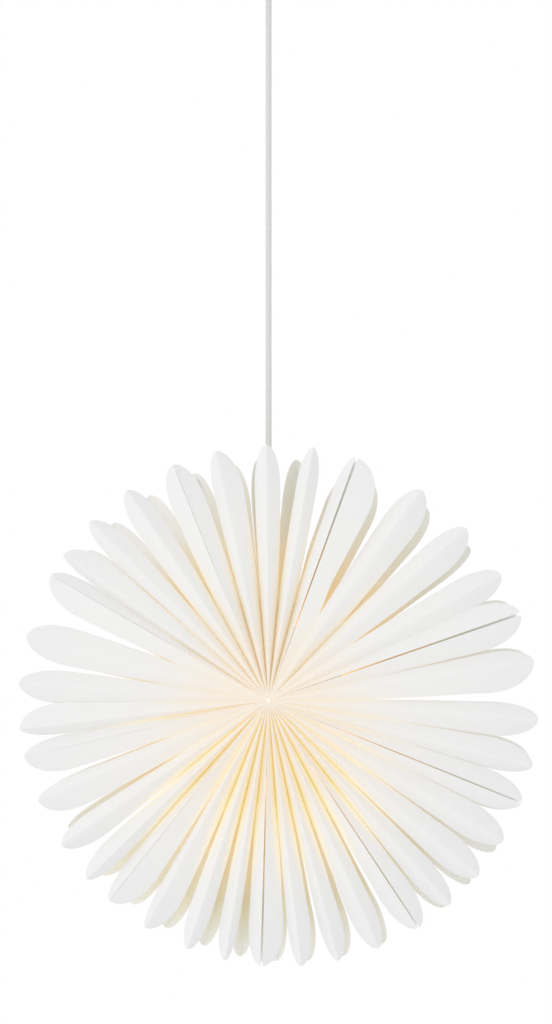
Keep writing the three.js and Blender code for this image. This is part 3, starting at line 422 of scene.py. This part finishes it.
def paper_inside():
    """Inner side of the paper and the walls, lit by the lamp between the rosettes: painted
    lamplight in colour and glow, fading outwards, and painted daylight on the outer parts.
    """
    material = bpy.data.materials.new("paper_inside")
    tree = Tree(material)
    radius, height, aside = from_centre(tree)
    along = tree.times(radius, 1 / INSIDE_RADIUS)
    left = tree.span(aside, *LEFT)
    # painted daylight: outer parts are paler above, and most of all on the left, where the light
    # falls
    pale = tree.times(tree.span(radius, *DAYLIT_OUT), tree.span(height, *DAYLIT_UP))
    pale = tree.times(pale, tree.span(aside, *DAYLIT_LEFT))
    daylit_tone = tree.mix(left, DAYLIT_RIGHT_TONE, DAYLIT_LEFT_TONE)
    daylit_glow = tree.mix(left, DAYLIT_RIGHT_GLOW, DAYLIT_LEFT_GLOW)
    # painted lamplight by radius, turned to painted daylight on the pale parts
    tone = tree.mix(pale, tree.ramp(along, INSIDE_LAMPLIT_TONES), daylit_tone)
    fibre = tree.times(tree.noise(*FIBRE), FIBRE_SHARE)
    tree.surface({
        "Base Color": tree.mix(fibre, tone, INSIDE_FIBRE),
        "Roughness": 0.85, "Specular IOR Level": 0.2,
        "Emission Color": tree.mix(pale, tree.ramp(along, INSIDE_LAMP_GLOWS), daylit_glow),
        "Emission Strength": tree.span(height, *INSIDE_GLOW_STRENGTH),
        "Normal": paper_bump(tree),
    })
    return material


# Paper star: the outer and the inner side are the first and second of a section's materials
OUTER, INNER = 0, 1


def tip_radius(side, angle):
    mean, sway, furthest, oval, widest = FRONT_TIPS if side < 0 else REAR_TIPS
    return mean + sway * cos(angle - furthest) + oval * cos(2 * (angle - widest))


def ridge_angles(first_seam, pitches):
    sections, angle = [], first_seam
    for row in pitches:
        ridges = [angle]
        for pitch in row:
            angle += pitch
            ridges.append(angle)
        sections.append(ridges)
    return sections


def rows_to(end):
    """Radii of the rows from the eye to the tip, each with the share of full width."""
    shoulder = end - TIP_LENGTH
    free = [LEAF_CUT + (shoulder - LEAF_CUT) * (i + 1) / FREE_ROWS for i in range(FREE_ROWS)]
    rows = [(radius, 1.0) for radius in (*JOINED_ROWS, *free)]
    for share in TIP_ROWS:
        full = max(0.0, 1 - share ** TIP_POWER) ** (1 / TIP_POWER)
        rows.append((shoulder + TIP_LENGTH * share, max(TIP_LEAST_WIDTH, full)))
    return rows


class Fold:
    """The fold between two neighbouring ridges."""

    def __init__(self, ridge, following, before, after, depth):
        self.pitch = following - ridge
        self.start = self.pitch * before / (before + after)  # from the first ridge to the valley
        self.rest = self.pitch - self.start
        self.valley = ridge + self.start
        self.depth = depth

    def drop(self, radius):
        """How far the valley lies behind the ridges."""
        paper = radius * tan(HALF_PETAL_ANGLE)
        reach = radius * tan(self.pitch / 2)
        flat = FLAT_SHARE * math.sqrt(max(paper ** 2 - reach ** 2, 0))
        grown = min(1, max(0, (radius - DEEP_START) / (DEEP_FULL - DEEP_START)))
        wide = paper + DEEP_EXTRA * grown
        deep = math.sqrt(max(wide ** 2 - reach ** 2, 0))
        return flat + (deep - flat) * self.depth


def across(reach, drop, soft, bow):
    """Points across half a petal, from its ridge to its edge: (sideways, inwards, share)."""
    ease = min(MOST_ROUND, RIDGE_ROUND / math.hypot(reach, drop)) if soft else 0.0
    crest = math.sqrt(1 + ease * ease) - ease
    points = []
    for share in COLUMNS:
        rounded = (math.sqrt(share * share + ease * ease) - ease) / crest
        lift = bow * BOW_PEAK * share * share * (1 - share)
        points.append((reach * share + lift * drop, drop * rounded - lift * reach, share))
    return points


class Petal:
    """A petal, whole or split along its ridge by a seam. side is -1 in front and 1 at the rear."""

    def __init__(self, side, ridge, gape):
        self.side = side
        self.ridge = ridge
        self.gape = gape  # width of the seam at the tip, 0 for a whole petal
        self.end = tip_radius(side, ridge)
        self.bow = BOW * chance.uniform(*BOW_RANGE)
        self.droop = TIP_DROOP * chance.uniform(*DROOP_RANGE)
        self.out = Vector((sin(ridge), 0, cos(ridge)))
        self.right = Vector((cos(ridge), 0, -sin(ridge)))

    def lean(self, radius):
        """How far the petal leans towards the middle plane."""
        return self.droop * max(0.0, (radius - (self.end - DROOP_LENGTH)) / DROOP_LENGTH) ** 2

    def opening(self, radius):
        """From the middle of the seam to the edge of the paper."""
        return (GAP + (self.gape - GAP) * radius / self.end) / 2 if self.gape else 0.0

    def half(self, turn, fold, spread):
        """Grid of (point, share, glow) for one half: turn is 1 for the clockwise one, else -1."""
        start = fold.start if turn > 0 else fold.rest
        least = math.hypot(LEAF_CUT * tan(start), fold.drop(LEAF_CUT))
        grid = []
        for radius, taper in rows_to(self.end):
            joined = radius <= LEAF_CUT
            free = min(1.0, max(0.0, (radius - LEAF_CUT) / OPEN_LENGTH)) ** OPEN_POWER
            if joined:
                reach, drop = radius * tan(start), fold.drop(radius)
            else:
                width = max(radius * tan(HALF_PETAL_ANGLE) * taper, least * taper)
                spread_reach = radius * tan(start + (spread - start) * free) * taper
                reach = min(spread_reach, width * MOST_OPEN)
                own = FREE_DROP * math.sqrt(width * width - reach * reach)
                drop = own + (fold.drop(LEAF_CUT) * taper - own) * (1 - free) ** 2
            aside = self.opening(radius)
            bow = self.bow * min(1.0, max(0.0, radius - BOW_START) / BOW_LENGTH)
            row = []
            for sideways, inwards, share in across(reach, drop, not self.gape, bow):
                if joined:
                    part = sideways / reach
                    angle = self.ridge + turn * start * part
                    far = radius / cos(fold.pitch / 2 * part)
                    spoke = Vector((sin(angle), 0, cos(angle)))
                    point = MIDDLE + spoke * far + self.right * turn * aside * (1 - part)
                else:
                    point = MIDDLE + self.out * radius + self.right * turn * (aside + sideways)
                point.y = self.side * (HALF_DEPTH - self.lean(radius) - inwards)
                row.append((point * MM, share, fold.depth * (1 - GLOW_LOSS * free)))
            grid.append(row)
        return grid

    def lip(self, turn):
        """Grid of points for the glued lip along the seam, and the material of each row."""
        grid, materials = [], []
        for radius, _ in rows_to(self.end):
            if not LIP_START <= radius <= self.end - LIP_END:
                continue
            ends = min(radius - LIP_START, self.end - LIP_END - radius)
            depth = LIP_DEPTH * (LIP_LEAST + (1 - LIP_LEAST) * min(1.0, ends / LIP_FADE))
            opened = self.opening(radius) + PAPER
            row = []
            for i in range(LIP_COLUMNS + 1):
                share = i / LIP_COLUMNS
                aside = opened + (PAPER / 2 - opened) * share
                point = MIDDLE + self.out * radius + self.right * turn * aside
                point.y = self.side * (HALF_DEPTH - self.lean(radius) - PAPER - depth * share)
                row.append(point * MM)
            grid.append(row)
            materials.append(OUTER if radius < LIP_CHANGE else INNER)
        return grid, materials


def wall(side, fold, foot):
    """Grid of points for the wall below a valley, down to the middle plane."""
    grid = []
    for radius in WALL_ROWS:
        top = HALF_DEPTH - fold.drop(radius) - PAPER
        far = radius / cos(fold.pitch / 2)
        row = []
        for i in range(WALL_COLUMNS + 1):
            share = i / WALL_COLUMNS
            angle = fold.valley + (foot - fold.valley) * share
            depth = top + (GLUE_GAP / 2 - top) * share
            row.append(Vector((far * sin(angle), side * depth, CENTRE + far * cos(angle))) * MM)
        grid.append(row)
    return grid


def add_grid(mesh, grid, flipped, materials, layers=None):
    """materials has one material index for each row of faces."""
    rows = []
    for row in grid:
        verts = []
        for cell in row:
            vert = mesh.verts.new(cell[0] if layers else cell)
            if layers:
                vert[layers[0]], vert[layers[1]] = cell[1], cell[2]
            verts.append(vert)
        rows.append(verts)
    for a, b, material in zip(rows, rows[1:], materials):
        for i in range(len(a) - 1):
            corners = (a[i], a[i + 1], b[i + 1], b[i])
            face = mesh.faces.new(corners[::-1] if flipped else corners)
            face.material_index = material


def thicken(mesh, thickness):
    """Turns open sheets into closed ones. The backs take the inner material."""
    mesh.normal_update()
    fronts = list(mesh.faces)
    rims = [edge.link_loops[0] for edge in mesh.edges if edge.is_boundary]
    rims = [(loop.vert, loop.link_loop_next.vert) for loop in rims]
    twins = {}
    for vert in list(mesh.verts):
        half = vert.normal * (thickness / 2)
        twins[vert] = mesh.verts.new(vert.co - half, vert)
        vert.co += half
    for front in fronts:
        back = mesh.faces.new([twins[vert] for vert in reversed(front.verts)])
        back.material_index = INNER
    for a, b in rims:
        rim = mesh.faces.new((b, a, twins[a], twins[b]))
        rim.material_index = OUTER


def finish_mesh(mesh, name, sharp_angle):
    """Mesh data from a bmesh, smooth except where faces meet at more than sharp_angle."""
    for face in mesh.faces:
        face.smooth = True
    data = bpy.data.meshes.new(name)
    mesh.to_mesh(data)
    mesh.free()
    data.set_sharp_from_angle(angle=math.radians(sharp_angle))
    return data


def section_folds(ridges, spreads, depths):
    """The folds between the ridges of one section."""
    pairs = zip(ridges, ridges[1:], spreads[::2], spreads[1::2], depths)
    return [Fold(*pair) for pair in pairs]


def paper_section(name, side, ridges, folds, spreads, gapes, feet, materials):
    """A section: gapes are its two seams' widths, feet the angles of its walls' lower edges."""
    mesh = bmesh.new()
    layers = (mesh.verts.layers.float.new("fold"), mesh.verts.layers.float.new("glow"))
    last = len(folds)
    seams = {0: gapes[0], last: gapes[1]}
    lips = []
    for j, ridge in enumerate(ridges):
        petal = Petal(side, ridge, seams.get(j, 0))
        if j > 0:
            half = petal.half(-1, folds[j - 1], spreads[2 * j - 1])
            add_grid(mesh, half, side < 0, repeat(OUTER), layers)
        if j < last:
            half = petal.half(1, folds[j], spreads[2 * j])
            add_grid(mesh, half, side > 0, repeat(OUTER), layers)
        if petal.gape:
            turn = 1 if j == 0 else -1
            lips.append((*petal.lip(turn), side * turn < 0))
    bmesh.ops.remove_doubles(mesh, verts=mesh.verts, dist=MERGE)
    for grid, sides, flipped in lips:
        add_grid(mesh, grid, flipped, sides)
    for fold, foot in zip(folds, feet):
        add_grid(mesh, wall(side, fold, foot), False, repeat(INNER))
    thicken(mesh, PAPER * MM)
    return new_object(name, finish_mesh(mesh, name, PAPER_SHARP), materials)


def make_star():
    materials = (paper_outside(), paper_inside())
    fronts = ridge_angles(FRONT_FIRST_SEAM, FRONT_PITCHES)
    rears = ridge_angles(REAR_FIRST_SEAM, REAR_PITCHES)
    count = len(fronts)
    for i in range(count):
        after = (i + 1) % count
        front_folds = section_folds(fronts[i], FRONT_SPREADS[i], FRONT_FOLDS[i])
        rear_folds = section_folds(rears[i], REAR_SPREADS[i], REAR_FOLDS[i])
        feet = [fold.valley for fold in front_folds]
        for label, side, ridges, folds, spreads, gapes in (
            ("front", -1, fronts[i], front_folds, FRONT_SPREADS[i], FRONT_GAPES),
            ("rear", 1, rears[i], rear_folds, REAR_SPREADS[i], REAR_GAPES),
        ):
            name = f"paper_{label}_{i + 1}"
            seams = (gapes[i], gapes[after])
            piece = paper_section(name, side, ridges, folds, spreads, seams, feet, materials)
            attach(piece, "star")
            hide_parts(f"{label}_section_{i + 1}")


# Cord: a tube with the relief of its braided sleeve
def braid_material():
    material = bpy.data.materials.new("braided_sleeve")
    tree = Tree(material)
    relief = tree.attribute("relief")
    yarn = tree.noise(2600, 3, tree.stretched((1, 1, 0.35)))
    cloud = tree.noise(60, 2)
    # painted shade: darker between the strands of the braid, lighter on top of them
    colour = tree.mix(relief, rgb(0.56, 0.56, 0.555), rgb(0.80, 0.80, 0.795))
    colour = tree.mix(tree.times(yarn, 0.4), colour, rgb(0.88, 0.88, 0.875))
    colour = tree.mix(tree.times(cloud, 0.18), colour, rgb(0.66, 0.66, 0.66))
    tree.surface({
        "Base Color": colour, "Roughness": 0.9, "Specular IOR Level": 0.15,
        "Sheen Weight": 0.12, "Normal": tree.bump(yarn, 0.00012, 0.8),
    })
    return material


def braid_relief(angle, run):
    """0 between the strands to 1 on top of one."""
    sideways = math.cos(BRAID_STRANDS * angle)
    lengthwise = math.cos(2 * math.pi * run / BRAID_PITCH)
    return (sideways + lengthwise) / 4 + 0.5


def make_cord():
    steps = round((CORD_TOP - CORD_FOOT) / CORD_STEP)
    mesh = bmesh.new()
    relief = mesh.verts.layers.float.new("relief")
    rings = []
    for k in range(steps + 1):
        run = (CORD_TOP - CORD_FOOT) * k / steps
        ring = []
        for i in range(CORD_SIDES):
            angle = 2 * math.pi * i / CORD_SIDES
            height = braid_relief(angle, run)
            radius = CORD_DIAMETER / 2 - BRAID_DEPTH * (1 - height)
            place = Vector((radius * math.cos(angle), radius * math.sin(angle), CORD_FOOT + run))
            vert = mesh.verts.new(place * MM)
            vert[relief] = height
            ring.append(vert)
        rings.append(ring)
    for a, b in zip(rings, rings[1:]):
        for i in range(CORD_SIDES):
            j = (i + 1) % CORD_SIDES
            mesh.faces.new((a[i], a[j], b[j], b[i]))
    mesh.faces.new(rings[0][::-1])
    mesh.faces.new(rings[-1])
    data = finish_mesh(mesh, "textile_cord", CORD_SHARP)
    cord = new_object("textile_cord", data, [braid_material()])
    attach(cord, "lamp")
    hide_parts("cord")
    path = [(0, 0, z * MM) for z in CORD_PATH]
    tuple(path[0])


# Materials of the model's own pieces
def moulded(name, colour, roughness):
    """Moulded plastic: fine sparks of the tool's surface and slight flow marks."""
    material = bpy.data.materials.new(name)
    tree = Tree(material)
    spark = tree.noise(2200, 2)
    flow = tree.noise(30, 3, tree.stretched((1, 1, 0.3)))
    light = [min(1.0, part * 1.03) for part in colour]
    dark = [part * 0.965 for part in colour]
    tree.surface({
        "Base Color": tree.mix(flow, rgb(*light), rgb(*dark)),
        "Roughness": tree.span(spark, 0.2, 0.8, roughness - 0.05, roughness + 0.07),
        "Specular IOR Level": 0.45, "Normal": tree.bump(spark, 0.00004, 0.6),
    })
    return material


def metal(name, colour, roughness, stretch):
    """Metal with fine drawing lines and slightly uneven plating."""
    material = bpy.data.materials.new(name)
    tree = Tree(material)
    lines = tree.noise(500, 4, tree.stretched(stretch))
    cloud = tree.noise(90, 2)
    dark = [part * 0.82 for part in colour]
    tree.surface({
        "Base Color": tree.mix(cloud, rgb(*colour), rgb(*dark)), "Metallic": 1.0,
        "Roughness": tree.span(lines, 0.3, 0.7, roughness - 0.06, roughness + 0.1),
        "Normal": tree.bump(lines, 0.00003, 0.5),
    })
    return material


def ceramic():
    material = bpy.data.materials.new("ceramic")
    tree = Tree(material)
    grain = tree.noise(900, 4)
    tree.surface({
        "Base Color": tree.mix(grain, rgb(0.86, 0.84, 0.79), rgb(0.78, 0.755, 0.70)),
        "Roughness": 0.42, "Specular IOR Level": 0.5, "Normal": tree.bump(grain, 0.00008, 0.7),
    })
    return material


def opal_globe():
    """Lit opal glass, a little deeper in colour towards its neck."""
    material = bpy.data.materials.new("opal_globe")
    tree = Tree(material)
    height = tree.add("ShaderNodeSeparateXYZ", {0: tree.place()}).outputs["Z"]
    top = tree.span(height, -0.800, -0.762)
    strength = tree.times(tree.span(tree.noise(45, 2), 0.2, 0.8, 0.96, 1.04), 2.2)
    tree.surface({
        "Base Color": rgb(0.90, 0.86, 0.78), "Roughness": 0.32, "Specular IOR Level": 0.5,
        "Emission Color": tree.mix(top, rgb(1.0, 0.86, 0.62), rgb(1.0, 0.70, 0.38)),
        "Emission Strength": strength,
    })
    return material


def dress_nodes():
    holder = moulded("holder_plastic", (0.84, 0.84, 0.825), 0.42)
    cup = moulded("cup_plastic", (0.86, 0.86, 0.85), 0.38)
    screw = metal("nickel", (0.74, 0.735, 0.71), 0.26, (1, 1, 1))
    sheet = metal("zinc_sheet", (0.66, 0.67, 0.69), 0.36, (0.08, 1, 1))
    wire = metal("zinc_wire", (0.68, 0.69, 0.71), 0.32, (0.1, 1, 1))
    brass = metal("brass", (0.72, 0.53, 0.22), 0.3, (1, 1, 0.2))
    finishes = {
        holder: ("holder_nipple", "holder_cap", "holder_body", "bulb_neck", "cord_clamp",
                 "terminal_block", "cup_gland", "gland_nut"),
        cup: ("ceiling_cup",),
        screw: ("clamp_screw_left", "clamp_screw_right", "block_screw", "gland_screw",
                "bulb_contact", "bulb_cap"),
        sheet: ("ceiling_bracket",),
        wire: ("hanger_wire",),
        brass: ("nipple_nut", "thread_sleeve", "centre_contact"),
        ceramic(): ("holder_core",),
        opal_globe(): ("bulb_globe",),
        moulded("brown_core", (0.11, 0.045, 0.02), 0.4): ("core_brown",),
        moulded("blue_core", (0.02, 0.07, 0.26), 0.4): ("core_blue",),
    }
    for material, names in finishes.items():
        for name in names:
            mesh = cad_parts[name].data
            mesh.materials.clear()
            mesh.materials.append(material)


# Stage: a pale floor far below, white surroundings and soft light
def make_stage():
    mesh = bmesh.new()
    bmesh.ops.create_circle(mesh, cap_ends=True, segments=FLOOR_SIDES, radius=FLOOR_RADIUS)
    data = bpy.data.meshes.new("floor")
    mesh.to_mesh(data)
    mesh.free()
    material = bpy.data.materials.new("pale_floor")
    tree = Tree(material)
    rim = tree.vector("LENGTH", tree.place())["Value"]
    tone = tree.mix(tree.noise(3, 2), rgb(0.86, 0.86, 0.855), rgb(0.90, 0.90, 0.895))
    pale = tree.add("ShaderNodeBsdfDiffuse", {"Color": tone})
    white = tree.add("ShaderNodeEmission", {"Color": rgb(1, 1, 1), "Strength": 1.0})
    shares = {0: tree.span(rim, *FLOOR_FADE), 1: pale.outputs[0], 2: white.outputs[0]}
    shader = tree.add("ShaderNodeMixShader", shares)
    tree.add("ShaderNodeOutputMaterial", {"Surface": shader.outputs[0]})
    floor = new_object("floor", data, [material])
    floor.location.z = FLOOR_HEIGHT


def make_surroundings():
    """Plain white where they are seen, and a little stronger from one side as light."""
    world = bpy.data.worlds.new("studio")
    bpy.context.scene.world = world
    tree = Tree(world)
    rays = tree.add("ShaderNodeLightPath").outputs
    direction = tree.add("ShaderNodeTexCoord").outputs["Generated"]
    slant = tree.vector("DOT_PRODUCT", direction, Vector(SKY_SIDE).normalized())["Value"]
    level = tree.math("MULTIPLY_ADD", slant, SKY_CHANGE, SKY_LEVEL)
    seen = tree.math("MAXIMUM", rays["Is Camera Ray"], rays["Is Glossy Ray"])
    seen = tree.math("MAXIMUM", seen, rays["Is Transmission Ray"])
    soft = tree.add("ShaderNodeBackground", {"Color": rgb(1, 1, 1), "Strength": level})
    white = tree.add("ShaderNodeBackground", {"Color": rgb(1, 1, 1), "Strength": 1.0})
    shares = {0: seen, 1: soft.outputs[0], 2: white.outputs[0]}
    mixed = tree.add("ShaderNodeMixShader", shares)
    tree.add("ShaderNodeOutputWorld", {"Surface": mixed.outputs[0]})


def make_lights():
    for name, place, size, power in LIGHTS:
        data = bpy.data.lights.new(name, "AREA")
        data.size = size
        data.energy = power
        light = bpy.data.objects.new(name, data)
        light.location = place
        aim = MIDDLE * MM - light.location
        light.rotation_euler = aim.to_track_quat("-Z", "Y").to_euler()
        bpy.context.scene.collection.objects.link(light)


make_camera()
make_cord()
make_star()
dress_nodes()
make_stage()
make_surroundings()
make_lights()
bpy.context.scene.view_settings.view_transform = "Standard"
